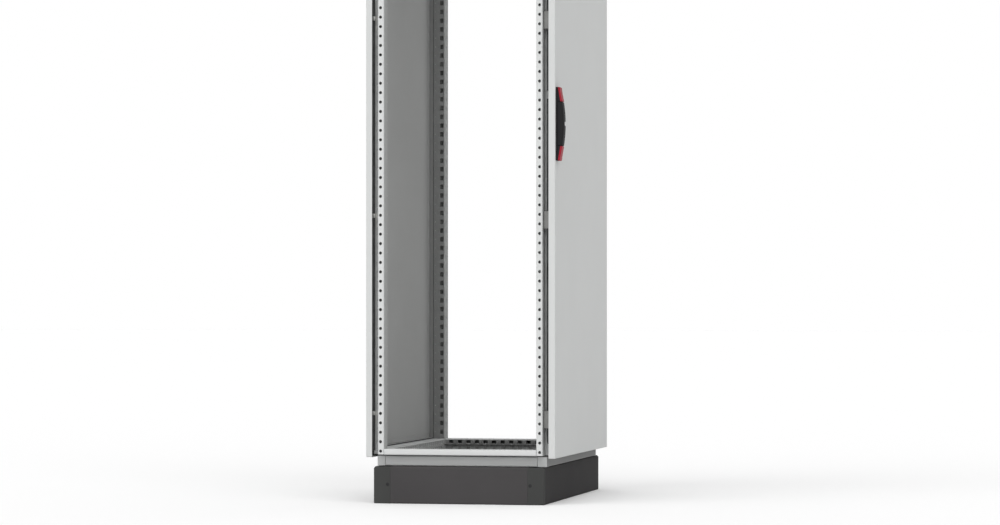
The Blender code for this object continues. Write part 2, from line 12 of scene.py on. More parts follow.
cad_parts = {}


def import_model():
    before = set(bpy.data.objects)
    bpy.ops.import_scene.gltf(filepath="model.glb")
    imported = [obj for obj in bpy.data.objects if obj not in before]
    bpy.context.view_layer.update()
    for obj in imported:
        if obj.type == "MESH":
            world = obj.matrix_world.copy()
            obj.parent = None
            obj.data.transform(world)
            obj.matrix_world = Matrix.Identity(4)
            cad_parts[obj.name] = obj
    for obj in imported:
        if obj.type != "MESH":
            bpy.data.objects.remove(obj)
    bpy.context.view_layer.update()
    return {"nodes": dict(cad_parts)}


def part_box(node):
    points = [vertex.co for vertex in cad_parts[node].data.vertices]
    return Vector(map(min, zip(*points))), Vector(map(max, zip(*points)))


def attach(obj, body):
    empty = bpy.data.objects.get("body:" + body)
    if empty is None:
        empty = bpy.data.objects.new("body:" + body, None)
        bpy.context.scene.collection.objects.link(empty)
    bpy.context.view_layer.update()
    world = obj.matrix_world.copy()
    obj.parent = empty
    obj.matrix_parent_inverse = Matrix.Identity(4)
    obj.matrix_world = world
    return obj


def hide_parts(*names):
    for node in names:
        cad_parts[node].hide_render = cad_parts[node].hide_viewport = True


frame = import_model()

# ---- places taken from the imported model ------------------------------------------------
REAR_POST_LOW, REAR_POST_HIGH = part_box("post_rear_left")
FRONT_POST_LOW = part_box("post_front_left")[0]
DOOR_LOW, DOOR_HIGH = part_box("door_panel")
REAR_LOW, REAR_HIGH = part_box("rear_panel")
ROOF_LOW, ROOF_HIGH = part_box("roof_panel")
GRIP_LOW, GRIP_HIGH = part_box("handle_grip")
BASE_PLATE_LOW, BASE_PLATE_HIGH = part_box("handle_base")

MIDDLE_Y = (FRONT_POST_LOW.y + REAR_POST_HIGH.y) / 2
HALF_X = -REAR_POST_LOW.x
LIP_Y = (REAR_POST_HIGH.y - FRONT_POST_LOW.y) / 2
FRAME_FOOT = REAR_POST_LOW.z
FRAME_TOP = REAR_POST_HIGH.z

ENDS = (("left", -1), ("right", 1))
SIDES = (("front", -1), ("rear", 1))

# ---- sizes of the folded steel ---------------------------------------------------------
SHEET = 0.002
HALF_SHEET = SHEET / 2
BEND = 0.0022               # bend radius, to the middle of the sheet
BEND_STEPS = 4
PANEL_ROUND = 0.0024        # outer corners of the door and rear panel
ROOF_ROUND = 0.004
CLEARANCE = 0.0003

LIP_LENGTH = 0.016
LIP_BITE = 0.0038           # how far a lip's tip presses into its foam seal
COLUMN_TO_SIDE = 0.0075
COLUMN_TO_INSIDE = 0.0095
POST_DEPTH = 0.041
POST_SIDE_Y = LIP_Y - LIP_LENGTH
COLUMN_Y = POST_SIDE_Y - COLUMN_TO_SIDE
POST_INSIDE_Y = COLUMN_Y - COLUMN_TO_INSIDE
HOLE_PITCH = 0.025
HOLE_MARGIN = 0.0088
HOLE_RADIUS = 0.0041
HOLE_COUNT = 70
SQUARE_HOLE = (0.010, 0.013)
SQUARE_CORNER = 0.0018
WEB_SLOT = (0.007, 0.012)
WEB_SLOT_PLACE = 0.020
WEB_SLOT_CORNER = 0.0030
PILOT_PLACE = 0.0045        # from the start of its run to a pilot hole
PILOT_RISE = 0.0022
PILOT_RADIUS = 0.0017
LIP_PILOT_RADIUS = 0.0014

RAIL_FACE = 0.0156
RAIL_WEB = 0.038
RAIL_DROP = 0.0012          # the bottom rails close down over the base sheet
RAIL_HOLE = (0.011, 0.013)
RAIL_HOLE_CORNER = 0.0015
RAIL_HOLE_DROP = 0.0094     # rail top to its upper row of holes
RAIL_PILOT_RADIUS = 0.0016
RAIL_SLOT = (0.0085, 0.017)
RAIL_SLOT_CORNER = 0.0020
RAIL_SLOT_DROP = 0.0251     # rail top to its lower row of slots


# ---- mesh helpers ----------------------------------------------------------------------
def new_object(name, bm):
    """A mesh object with outward normals."""
    bmesh.ops.recalc_face_normals(bm, faces=bm.faces)
    mesh = bpy.data.meshes.new(name)
    bm.to_mesh(mesh)
    bm.free()
    obj = bpy.data.objects.new(name, mesh)
    bpy.context.scene.collection.objects.link(obj)
    return obj


def smooth(obj, angle=40):
    """Smooth shading, with sharp edges above the angle in degrees."""
    mesh = obj.data
    mesh.polygons.foreach_set("use_smooth", [True] * len(mesh.polygons))
    mesh.set_sharp_from_angle(angle=math.radians(angle))
    modifier = obj.modifiers.new("Even normals", "WEIGHTED_NORMAL")
    modifier.keep_sharp = True
    return obj


def soften(obj, width, segments=2, angle=35):
    """A bevel on an object's edges, with even shading across its faces."""
    modifier = obj.modifiers.new("Edges", "BEVEL")
    modifier.width = width
    modifier.segments = segments
    modifier.limit_method = "ANGLE"
    modifier.angle_limit = math.radians(angle)
    modifier.harden_normals = True
    return obj


def place_piece(obj, material, body, replaced=()):
    """Gives a piece its material or materials, its body and the nodes it replaces."""
    for entry in material if isinstance(material, tuple) else (material,):
        obj.data.materials.append(entry)
    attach(obj, body)
    if replaced:
        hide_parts(*replaced)


def joined(name, objects):
    """Several closed meshes as one object."""
    bm = bmesh.new()
    for obj in objects:
        bm.from_mesh(obj.data)
        bpy.data.objects.remove(obj, do_unlink=True)
    return new_object(name, bm)


def turned(point, angle):
    """A point in the plane, turned about the origin."""
    x, y = point
    return (x * math.cos(angle) - y * math.sin(angle), x * math.sin(angle) + y * math.cos(angle))


def rounded_rectangle(centre, size, radius, steps=3):
    """Corner points of a rounded rectangle, counter-clockwise."""
    points = []
    half = (size[0] / 2 - radius, size[1] / 2 - radius)
    for corner, (sx, sy) in enumerate(((1, 1), (-1, 1), (-1, -1), (1, -1))):
        for step in range(steps + 1):
            angle = math.pi / 2 * (corner + step / steps)
            points.append((centre[0] + sx * half[0] + radius * math.cos(angle),
                           centre[1] + sy * half[1] + radius * math.sin(angle)))
    return points


def circle(centre, radius, steps):
    return [(centre[0] + radius * math.cos(2 * math.pi * step / steps),
             centre[1] + radius * math.sin(2 * math.pi * step / steps)) for step in range(steps)]


def plate_faces(outer, holes):
    """Triangles that fill an outline but not its convex holes, as loops of points."""
    if not holes:
        return [outer]
    points, faces, owner = [], [], []
    for number, loop in enumerate([outer] + holes):
        faces.append(list(range(len(points), len(points) + len(loop))))
        points += [Vector(point) for point in loop]
        owner += [number] * len(loop)
    edges = [(loop[i], loop[(i + 1) % len(loop)]) for loop in faces for i in range(len(loop))]
    found, _, triangles, origin, _, _ = delaunay_2d_cdt(points, edges, faces[:1], 1, 1e-7)
    kept = []
    for triangle in triangles:
        owners = {owner[origin[i][0]] if origin[i] else 0 for i in triangle}
        if len(owners) > 1 or owners == {0}:
            kept.append([tuple(found[i]) for i in triangle])
    return kept


def section_parts(path, radius, steps):
    """The straight runs and bends along the middle line of a folded sheet."""
    points = [Vector(point) for point in path]
    runs = [after - before for before, after in zip(points, points[1:])]
    ways = [run.normalized() for run in runs]
    turns = [math.atan2(a.x * b.y - a.y * b.x, a.dot(b)) for a, b in zip(ways, ways[1:])]
    trims = [0.0] + [radius * math.tan(abs(turn) / 2) for turn in turns] + [0.0]
    parts = []
    for index, (start, run, way) in enumerate(zip(points, runs, ways)):
        normal = Vector((-way.y, way.x))
        low, high = trims[index], run.length - trims[index + 1]
        parts.append(("run", index, start, way, normal, low, high))
        if index < len(turns) and abs(turns[index]) > 1e-6:
            turn = turns[index]
            side = math.copysign(radius, turn)
            centre = start + way * high + normal * side
            stations = []
            for step in range(steps + 1):
                out = Vector(turned(normal, turn * step / steps))
                stations.append((centre - out * side, out))
            parts.append(("bend", index, stations))
    return parts


def folded(name, path, low, high, place, cuts=None, thickness=SHEET, radius=BEND,
           shaded_sides=None):
    """A folded sheet: `path` is its section, swept from `low` to `high` along the third axis.

    cuts[run] lists holes in that straight run, as loops of (distance along it, third axis).
    shaded_sides[run] is the number of the material, darkened with painted shade, on the run's
    left-hand side, or with a minus sign on its right-hand side. A bend has it only where both its
    neighbours do.
    """
    shaded_sides = shaded_sides or {}
    cuts = cuts or {}
    stations, numbers, faces, face_shades = [], {}, [], []

    def number(spot, normal, along):
        key = (round(spot.x, 7), round(spot.y, 7), round(along, 7))
        if key not in numbers:
            numbers[key] = len(stations)
            stations.append((spot, normal, along))
        return numbers[key]

    for part in section_parts(path, radius, BEND_STEPS):
        if part[0] == "run":
            _, index, start, way, normal, near, far = part
            outer = [(near, low), (far, low), (far, high), (near, high)]
            for loop in plate_faces(outer, cuts.get(index, [])):
                faces.append([number(start + way * s, normal, c) for s, c in loop])
                face_shades.append(shaded_sides.get(index, 0))
        else:
            _, index, arc = part
            for (spot_a, out_a), (spot_b, out_b) in zip(arc, arc[1:]):
                faces.append([number(spot_a, out_a, low), number(spot_b, out_b, low),
                              number(spot_b, out_b, high), number(spot_a, out_a, high)])
                lower, upper = sorted((shaded_sides.get(index, 0), shaded_sides.get(index + 1, 0)))
                face_shades.append(lower if lower > 0 else min(upper, 0))

    bm = bmesh.new()
    skins = []
    for side in (0.5, -0.5):
        skins.append([bm.verts.new(place(*(spot + normal * thickness * side), along))
                      for spot, normal, along in stations])
    edges = {}
    for face, shade_index in zip(faces, face_shades):
        bm.faces.new([skins[0][i] for i in face]).material_index = max(shade_index, 0)
        bm.faces.new([skins[1][i] for i in reversed(face)]).material_index = max(-shade_index, 0)
        for a, b in zip(face, face[1:] + face[:1]):
            edges[(a, b)] = edges.get((a, b), 0) + 1
    for a, b in edges:
        if (b, a) not in edges:
            bm.faces.new([skins[0][b], skins[0][a], skins[1][a], skins[1][b]])
    return new_object(name, bm)


def tray(name, low, high, axis, open_side, rounding=PANEL_ROUND):
    """A pan of folded sheet with rounded corners, open towards one side of `axis`."""
    bm = bmesh.new()
    bmesh.ops.create_cube(bm, size=1)
    for vert in bm.verts:
        vert.co = Vector([low[i] if vert.co[i] < 0 else high[i] for i in range(3)])
    opening = high[axis] if open_side > 0 else low[axis]
    mouth = [face for face in bm.faces
             if all(abs(vert.co[axis] - opening) < 1e-6 for vert in face.verts)]
    bmesh.ops.delete(bm, geom=mouth, context="FACES_ONLY")
    edges = [edge for edge in bm.edges if len(edge.link_faces) == 2]
    bmesh.ops.bevel(bm, geom=edges, offset=rounding, segments=4, profile=0.5,
                    affect="EDGES", clamp_overlap=True)
    for vert in bm.verts:
        if abs(vert.co[axis] - opening) < rounding / 2:
            vert.co[axis] = opening
    obj = new_object(name, bm)
    modifier = obj.modifiers.new("Sheet", "SOLIDIFY")
    modifier.thickness = SHEET
    modifier.offset = -1
    modifier.use_even_offset = True
    # The inner skin takes the object's second material, the painted shade of the cabinet's inside.
    modifier.material_offset = 1
    return smooth(obj)


def swept_ring(name, profile, reach_x, foot, top, place, second=()):
    """A closed profile of (outward, across) points swept round a rectangle, mitred.

    The sides of the profile in `second` take the object's second material.
    """
    bm = bmesh.new()
    rings = []
    for sx, up in ((-1, 0), (1, 0), (1, 1), (-1, 1)):
        ring = []
        for out, across in profile:
            z = top + out if up else foot - out
            ring.append(bm.verts.new(place(sx * (reach_x + out), z, across)))
        rings.append(ring)
    for ring, after in zip(rings, rings[1:] + rings[:1]):
        for i in range(len(profile)):
            k = (i + 1) % len(profile)
            side = bm.faces.new([ring[i], ring[k], after[k], after[i]])
            side.material_index = 1 if i in second else 0
    return new_object(name, bm)


def loft(name, rows):
    """A closed solid through rows of points, with a flat cap at each end."""
    bm = bmesh.new()
    rings = [[bm.verts.new(point) for point in row] for row in rows]
    for ring, after in zip(rings, rings[1:]):
        for i in range(len(ring)):
            k = (i + 1) % len(ring)
            bm.faces.new([ring[i], ring[k], after[k], after[i]])
    bm.faces.new(rings[0])
    bm.faces.new(list(reversed(rings[-1])))
    return new_object(name, bm)


def turned_solid(name, profile, centre, axis, steps=28):
    """A solid of revolution: profile of (distance along the axis, radius) points."""
    axis = Vector(axis).normalized()
    across = axis.orthogonal().normalized()
    third = axis.cross(across)
    rows = []
    for along, radius in profile:
        rows.append([Vector(centre) + axis * along
                     + (across * math.cos(2 * math.pi * i / steps)
                        + third * math.sin(2 * math.pi * i / steps)) * radius
                     for i in range(steps)])
    return loft(name, rows)


# ---- materials -------------------------------------------------------------------------
def finish(name, colour, rough, metallic=0.0, grain=(900.0, 0.25, 0.00004), mottling=0.03,
           rough_range=0.06, stretch=(1, 1, 1), mottle_scale=6.0, specular=0.5):
    """A procedural finish: slight colour and gloss variation, and a fine surface grain.

    grain is its noise scale, and the strength and depth in metres of its bump.
    """
    material = bpy.data.materials.new(name)
    material.use_nodes = True
    nodes, links = material.node_tree.nodes, material.node_tree.links
    shader = nodes["Principled BSDF"]
    shader.inputs["Metallic"].default_value = metallic
    shader.inputs["Specular IOR Level"].default_value = specular

    place = nodes.new("ShaderNodeTexCoord")
    mapping = nodes.new("ShaderNodeMapping")
    mapping.inputs["Scale"].default_value = stretch
    links.new(place.outputs["Object"], mapping.inputs["Vector"])

    broad = nodes.new("ShaderNodeTexNoise")
    broad.inputs["Scale"].default_value = mottle_scale
    broad.inputs["Detail"].default_value = 6
    links.new(mapping.outputs["Vector"], broad.inputs["Vector"])
    tint = nodes.new("ShaderNodeValToRGB")
    tint.color_ramp.elements[0].position = 0.3
    tint.color_ramp.elements[1].position = 0.7
    tint.color_ramp.elements[0].color = (*[c * (1 - mottling) for c in colour], 1)
    tint.color_ramp.elements[1].color = (*[min(1, c * (1 + mottling)) for c in colour], 1)
    links.new(broad.outputs["Fac"], tint.inputs["Fac"])
    links.new(tint.outputs["Color"], shader.inputs["Base Color"])

    gloss = nodes.new("ShaderNodeMapRange")
    gloss.inputs["To Min"].default_value = rough - rough_range
    gloss.inputs["To Max"].default_value = rough + rough_range
    fine = nodes.new("ShaderNodeTexNoise")
    scale, strength, depth = grain
    fine.inputs["Scale"].default_value = scale
    fine.inputs["Detail"].default_value = 3
    links.new(mapping.outputs["Vector"], fine.inputs["Vector"])
    links.new(fine.outputs["Fac"], gloss.inputs["Value"])
    links.new(gloss.outputs["Result"], shader.inputs["Roughness"])

    bump = nodes.new("ShaderNodeBump")
    bump.inputs["Strength"].default_value = strength
    bump.inputs["Distance"].default_value = depth
    links.new(fine.outputs["Fac"], bump.inputs["Height"])
    links.new(bump.outputs["Normal"], shader.inputs["Normal"])
    return material


def foam(name, colour):
    """Closed-cell foam: small pores."""
    material = finish(name, colour, 0.92, grain=(1400.0, 0.5, 0.0002), mottling=0.25,
                      rough_range=0.04, mottle_scale=60)
    nodes, links = material.node_tree.nodes, material.node_tree.links
    pores = nodes.new("ShaderNodeTexVoronoi")
    pores.inputs["Scale"].default_value = 900
    links.new(nodes["Mapping"].outputs["Vector"], pores.inputs["Vector"])
    links.new(pores.outputs["Distance"], nodes["Bump"].inputs["Height"])
    return material


PAINT_GRAIN = (750, 0.3, 0.00005)
PLINTH_GRAIN = (650, 0.45, 0.00008)
ZINC_GRAIN = (300, 0.2, 0.00003)
POWDER_GREY = finish("powder_coat_grey", (0.605, 0.615, 0.61), 0.58, grain=PAINT_GRAIN,
                     mottling=0.012, specular=0.2)
FRAME_GREY = finish("powder_coat_grey_frame", (0.62, 0.63, 0.625), 0.60, grain=PAINT_GRAIN,
                    mottling=0.015, specular=0.2)
# Painted shade: a darker copy of the grey paint for faces inside the cabinet, where shade falls
INSIDE_SHADE_GREY = finish("grey_inside_painted_shade", (0.49, 0.495, 0.49), 0.70, grain=PAINT_GRAIN,
                     mottling=0.02, specular=0.1)
# Painted shade: a much darker copy of the grey paint for recesses, gaps, hole backs and the base
# under the door
DEEP_SHADE_GREY = finish("grey_painted_deep_shade", (0.27, 0.272, 0.27), 0.72, grain=PAINT_GRAIN,
                     mottling=0.02, specular=0.1)
PLINTH_GREY = finish("plinth_grey", (0.064, 0.061, 0.062), 0.75, grain=PLINTH_GRAIN,
                     mottling=0.05, specular=0.08)
PLINTH_CORNER_GREY = finish("plinth_corner_grey", (0.0565, 0.0575, 0.0560), 0.75,
                            grain=PLINTH_GRAIN, mottling=0.06, specular=0.08)
# Painted shade: a darker copy of the plinth grey for its front and rear covers, the sides that lie
# in shade
PLINTH_SIDE_SHADE_GREY = finish("plinth_side_painted_shade", (0.0335, 0.0320, 0.0325), 0.75,
                          grain=PLINTH_GRAIN, mottling=0.06, specular=0.08)
SEAL_BLACK = foam("seal_foam", (0.09, 0.09, 0.09))
ZINC_BRIGHT = finish("zinc_bright", (0.66, 0.66, 0.64), 0.38, 0.7, grain=ZINC_GRAIN,
                     mottling=0.10, mottle_scale=90, rough_range=0.1)
# Painted shade: the zinc darkened for the keepers, which sit in the shaded gap beside the door
ZINC_SHADE = finish("zinc_painted_shade", (0.20, 0.20, 0.195), 0.55, 0.6, grain=ZINC_GRAIN,
                   mottling=0.10, mottle_scale=90, rough_range=0.1)
ZINC = finish("zinc_plate", (0.36, 0.36, 0.35), 0.45, 0.9, grain=ZINC_GRAIN,
              mottling=0.12, mottle_scale=90, rough_range=0.1)
PLASTIC_BLACK = finish("handle_black", (0.017, 0.017, 0.018), 0.60, grain=(1100, 0.4, 0.00006),
                       mottling=0.08, specular=0.08)
PLASTIC_RED = finish("handle_red", (0.30, 0.008, 0.022), 0.50, grain=(1300, 0.25, 0.00004),
                     mottling=0.08, specular=0.2)
CHROME = finish("lock_chrome", (0.62, 0.62, 0.63), 0.22, 1.0, grain=(2200, 0.15, 0.00002),
                mottling=0.04, stretch=(1, 1, 8))
ROD_BLACK = finish("rod_black", (0.03, 0.03, 0.032), 0.42, 0.7, grain=(500, 0.25, 0.00003),
                   mottling=0.15, stretch=(1, 1, 0.1))
SCREW_BLACK = finish("screw_black", (0.02, 0.02, 0.021), 0.5, 0.5, grain=(1500, 0.3, 0.00003),
                     mottling=0.1, mottle_scale=120)

# ---- plinth ----------------------------------------------------------------------------
PLINTH_LOW, PLINTH_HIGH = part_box("plinth_left_cover")
FRONT_COVER_LOW, FRONT_COVER_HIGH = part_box("plinth_front_cover")
PLINTH_X = -PLINTH_LOW.x
PLINTH_Y = (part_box("plinth_rear_cover")[1].y - FRONT_COVER_LOW.y) / 2
PLINTH_DROP = 0.0018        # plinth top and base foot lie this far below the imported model's
PLINTH_HEIGHT = PLINTH_HIGH.z - PLINTH_DROP
PLINTH_BEND = 0.003
END_FLANGE = 0.050
END_FOOT = 0.020
FRONT_FLANGE = 0.010
COLUMN_WIDTH = 0.012
CORNER_LEAF = 0.045         # a corner's face on the cabinet's end sides
TOP_EDGE = 0.0016
TOP_EDGE_REACH = 0.0025
COLUMN_EDGE = 0.0035        # rounding of its upright edge
COLUMN_TOP_DROP = 0.006     # its top rounds down towards the front or rear
COLUMN_FOOT = ((0.0, 0.80), (0.0008, 0.93), (0.0024, 1.0))
BRACKET_LEG = 0.060
BRACKET_WALL = 0.003
BRACKET_BEND = 0.004
PLATE_CORNER = 0.002
PLINTH_SCREW_HEIGHT = 0.051
PLINTH_SCREW_INSET = 0.038
SCREW_HEAD = 0.0045
SCREW_PROFILE = ((0, 1), (0.0004, 1), (0.0009, 0.9), (0.0012, 0.62))
SCREW_RIM = 0.18            # width of the rim round its recess, as a share of its radius
SCREW_RECESS = 0.0010
STRIP_HEIGHT = 0.003        # black packing between base and frame, painted shade: it draws the shadow line under the frame
STRIP_WIDTH = 0.020
STRIP_INSET = 0.0006
STRIP_ROUND = 0.2           # as a share of its height
BLOCK_ROUND = 0.0018
BLOCK_EXTRA = 0.005         # the front corner blocks of the base are wider on the ends


def cover_path(flange, foot):
    """Section of a plinth cover with a flange at its top and one at its foot."""
    return [(flange, PLINTH_HEIGHT - HALF_SHEET), (HALF_SHEET, PLINTH_HEIGHT - HALF_SHEET),
            (HALF_SHEET, HALF_SHEET), (foot, HALF_SHEET)]


def build_plinth():
    reach_y = PLINTH_Y - CORNER_LEAF - CLEARANCE
    reach_x = (FRONT_COVER_HIGH.x - FRONT_COVER_LOW.x) / 2
    for name, sign in ENDS:
        cover = folded(f"plinth_cover_{name}", cover_path(END_FLANGE, END_FOOT), -reach_y,
                       reach_y, lambda a, b, c: (sign * (PLINTH_X - a), MIDDLE_Y + c, b),
                       radius=PLINTH_BEND)
        place_piece(smooth(cover), PLINTH_GREY, "frame", [f"plinth_{name}_cover"])
    # The front and rear covers take the plinth grey darkened with painted shade.
    for name, sign in SIDES:
        cover = folded(f"plinth_cover_{name}", cover_path(FRONT_FLANGE, FRONT_FLANGE), -reach_x,
                       reach_x, lambda a, b, c: (c, MIDDLE_Y + sign * (PLINTH_Y - a), b),
                       radius=PLINTH_BEND)
        place_piece(smooth(cover), PLINTH_SIDE_SHADE_GREY, "frame",
                    [f"plinth_{name}_cover"])
    for y_name, sy in SIDES:
        for x_name, sx in ENDS:
            build_plinth_corner(f"{y_name}_{x_name}", sx, sy)


def build_plinth_corner(name, sx, sy):
    """A rounded corner column on an angle bracket, closed by a plate at its top."""
    def world(a, b, z):
        return (sx * (PLINTH_X - a), MIDDLE_Y + sy * (PLINTH_Y - b), z)

    levels = list(COLUMN_FOOT)
    for step in range(8):
        angle = math.pi / 2 * step / 8
        levels.append((PLINTH_HEIGHT - COLUMN_TOP_DROP * (1 - math.sin(angle)),
                       math.cos(angle)))
    levels.append((PLINTH_HEIGHT - 0.0001, 0.10))
    outline = [(SHEET, COLUMN_WIDTH), (COLUMN_WIDTH, COLUMN_WIDTH), (COLUMN_WIDTH, 0.0)]
    for step in range(6):
        angle = math.pi / 2 * step / 5
        outline.append((COLUMN_EDGE * (1 - math.sin(angle)), COLUMN_EDGE * (1 - math.cos(angle))))
    outline += [(0.0, COLUMN_WIDTH), (0.0, CORNER_LEAF), (SHEET, CORNER_LEAF)]
    rows = []
    for z, share in levels:
        edge = max(0.0, 1 - (PLINTH_HEIGHT - z) / TOP_EDGE_REACH) ** 2 * TOP_EDGE
        rows.append([world(max(a, edge) if a < SHEET else a,
                           COLUMN_WIDTH - (COLUMN_WIDTH - b) * share if b < COLUMN_WIDTH else b, z)
                     for a, b in outline])
    column = loft("column", rows)
    skin = SHEET + CLEARANCE + BRACKET_WALL / 2
    top = PLINTH_HEIGHT - SHEET - CLEARANCE
    bracket = folded("bracket", [(BRACKET_LEG, skin), (skin, skin), (skin, BRACKET_LEG)],
                     SHEET + CLEARANCE, top, world, thickness=BRACKET_WALL, radius=BRACKET_BEND)
    plate_edge = SHEET + CLEARANCE + BRACKET_WALL
    outline = rounded_rectangle([(plate_edge + BRACKET_LEG) / 2] * 2,
                                [BRACKET_LEG - plate_edge] * 2, PLATE_CORNER)
    plate = loft("plate", [[world(a, b, z) for a, b in outline]
                           for z in (top - BRACKET_WALL, top)])
    corner = joined(f"plinth_post_{name}", [column, bracket, plate])
    place_piece(smooth(corner), PLINTH_CORNER_GREY, "frame",
                [f"plinth_corner_{name}"])


def screw(name, centre, out, radius, material, body):
    """A low screw head with a round recess."""
    out = Vector(out)
    head = turned_solid(name, [(along, radius * share) for along, share in SCREW_PROFILE],
                        centre, out, 24)
    bm = bmesh.new()
    bm.from_mesh(head.data)
    bpy.data.objects.remove(head, do_unlink=True)
    top = max(bm.faces, key=lambda face: (face.calc_center_median() - Vector(centre)).dot(out)
              + (1 if len(face.verts) > 4 else 0))
    bmesh.ops.inset_individual(bm, faces=[top], thickness=radius * SCREW_RIM)
    bmesh.ops.translate(bm, verts=top.verts, vec=-out * SCREW_RECESS)
    place_piece(smooth(new_object(name, bm)), material, body)


def build_plinth_screws():
    count = 0
    for sx in (-1, 1):
        for sy in (-1, 1):
            count += 1
            spot = (sx * PLINTH_X, MIDDLE_Y + sy * (PLINTH_Y - PLINTH_SCREW_INSET),
                    PLINTH_SCREW_HEIGHT)
            screw(f"plinth_screw_end_{count}", spot, (sx, 0, 0), SCREW_HEAD, SCREW_BLACK, "frame")


# ---- base frame ------------------------------------------------------------------------
def build_base():
    """Channels and corner blocks, with painted shade on their front and rear sides, under a black
    packing strip that paints the shadow line under the frame.
    """
    left_low, left_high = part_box("base_rail_left")
    front_low, front_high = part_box("base_rail_front")
    depth = left_high.x - left_low.x
    foot = left_low.z - PLINTH_DROP
    seat = left_high.z - RAIL_DROP
    head = seat - STRIP_HEIGHT
    path = [(depth, head - HALF_SHEET), (HALF_SHEET, head - HALF_SHEET),
            (HALF_SHEET, foot + HALF_SHEET), (depth, foot + HALF_SHEET)]
    reach_y = (left_high.y - left_low.y) / 2
    reach_x = (front_high.x - front_low.x) / 2
    face_y = MIDDLE_Y - front_low.y
    for name, sign in ENDS:
        rail = folded(f"base_channel_{name}", path, BLOCK_EXTRA - reach_y, reach_y,
                      lambda a, b, c: (sign * (-left_low.x - a), MIDDLE_Y + c, b))
        place_piece(smooth(rail), FRAME_GREY, "frame", [f"base_rail_{name}"])
    # The front and rear channels take painted shade, as under the door.
    for name, sign in SIDES:
        rail = folded(f"base_channel_{name}", path, -reach_x, reach_x,
                      lambda a, b, c: (c, MIDDLE_Y + sign * (face_y - a), b))
        place_piece(smooth(rail), DEEP_SHADE_GREY, "frame", [f"base_rail_{name}"])
    # The black packing strip is painted shade: it draws the shadow line between base and frame.
    edge = STRIP_HEIGHT * STRIP_ROUND
    section = [(-STRIP_WIDTH, head), (-edge, head), (0.0, head + edge), (0.0, seat - edge),
               (-edge, seat), (-STRIP_WIDTH, seat)]
    strip = swept_ring("base_shadow_strip", section, -left_low.x - STRIP_INSET,
                       MIDDLE_Y - face_y + STRIP_INSET, MIDDLE_Y + face_y - STRIP_INSET,
                       lambda x, y, z: (x, y, z))
    place_piece(smooth(strip), SEAL_BLACK, "frame")
    for y_name, extra in (("front", BLOCK_EXTRA), ("rear", 0.0)):
        for x_name in ("left", "right"):
            node = f"base_corner_{y_name}_{x_name}"
            low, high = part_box(node)
            high.y += extra
            outline = rounded_rectangle(((low.x + high.x) / 2, (low.y + high.y) / 2),
                                        (high.x - low.x, high.y - low.y), BLOCK_ROUND)
            block = loft(f"base_block_{y_name}_{x_name}",
                         [[(x, y, z) for x, y in outline] for z in (foot, head)])
            # Faces towards the front and rear take painted shade.
            for face in block.data.polygons:
                face.material_index = int(abs(face.normal.y) > 0.7)
            place_piece(smooth(block), (FRAME_GREY, DEEP_SHADE_GREY), "frame", [node])


# ---- frame -----------------------------------------------------------------------------
def post_cuts(far_side):
    """Hole rows of a post, by straight run of its section."""
    heights = [FRAME_FOOT + HOLE_MARGIN + index * HOLE_PITCH for index in range(HOLE_COUNT)]
    outside = COLUMN_TO_INSIDE - HALF_SHEET
    cuts = {0: [], 1: [], 2: [], 3: []}
    for index, z in enumerate(heights):
        cuts[0].append(circle((PILOT_PLACE + LIP_BITE, z), LIP_PILOT_RADIUS, 8))
        cuts[1].append(rounded_rectangle((COLUMN_TO_SIDE, z), SQUARE_HOLE, SQUARE_CORNER))
        cuts[3].append(circle((outside, z), HOLE_RADIUS, 18))
        if far_side:
            cuts[2].append(rounded_rectangle((WEB_SLOT_PLACE, z), WEB_SLOT, WEB_SLOT_CORNER))
        elif index % 2:
            cuts[2].append(circle((PILOT_PLACE, z + PILOT_RISE), PILOT_RADIUS, 10))
    return cuts


def build_posts():
    inner = POST_DEPTH - HALF_SHEET
    path = [(inner, COLUMN_TO_SIDE + LIP_LENGTH + LIP_BITE), (inner, COLUMN_TO_SIDE),
            (inner, HALF_SHEET - COLUMN_TO_INSIDE),
            (HALF_SHEET, HALF_SHEET - COLUMN_TO_INSIDE),
            (HALF_SHEET, COLUMN_TO_SIDE - HALF_SHEET),
            (inner - HALF_SHEET, COLUMN_TO_SIDE - HALF_SHEET)]
    # Painted shade: the lip and inner flange on their sides towards the cabinet's middle and the
    # inside of the tube take the darkest grey; the web's side towards the cabinet takes the darker
    # grey of the inside.
    for y_name, sy in SIDES:
        for x_name, sx in ENDS:
            post = folded(f"profile_{y_name}_{x_name}", path, FRAME_FOOT, FRAME_TOP,
                          lambda a, b, c: (sx * (HALF_X - a), MIDDLE_Y + sy * (COLUMN_Y + b), c),
                          post_cuts(x_name == "right"), shaded_sides={0: 2, 1: 2, 2: 1, 3: -2, 4: -2})
            place_piece(smooth(post), (FRAME_GREY, INSIDE_SHADE_GREY, DEEP_SHADE_GREY), "frame",
                        [f"post_{y_name}_{x_name}"])


def rail_cuts(reach, run):
    """Two rows of holes along a rail's inner web, with pilot holes between the upper ones."""
    holes = []
    half_count = int((reach - RAIL_HOLE[1]) / HOLE_PITCH - 0.5)
    for index in range(-half_count - 1, half_count + 1):
        along = (index + 0.5) * HOLE_PITCH
        holes.append(rounded_rectangle((RAIL_HOLE_DROP - HALF_SHEET, along), RAIL_HOLE,
                                       RAIL_HOLE_CORNER))
        if index < half_count:
            between = along + HOLE_PITCH / 2
            holes.append(circle((RAIL_HOLE_DROP, between), RAIL_PILOT_RADIUS, 8))
            holes.append(rounded_rectangle((RAIL_SLOT_DROP - HALF_SHEET, between), RAIL_SLOT,
                                           RAIL_SLOT_CORNER))
    return {run: holes}


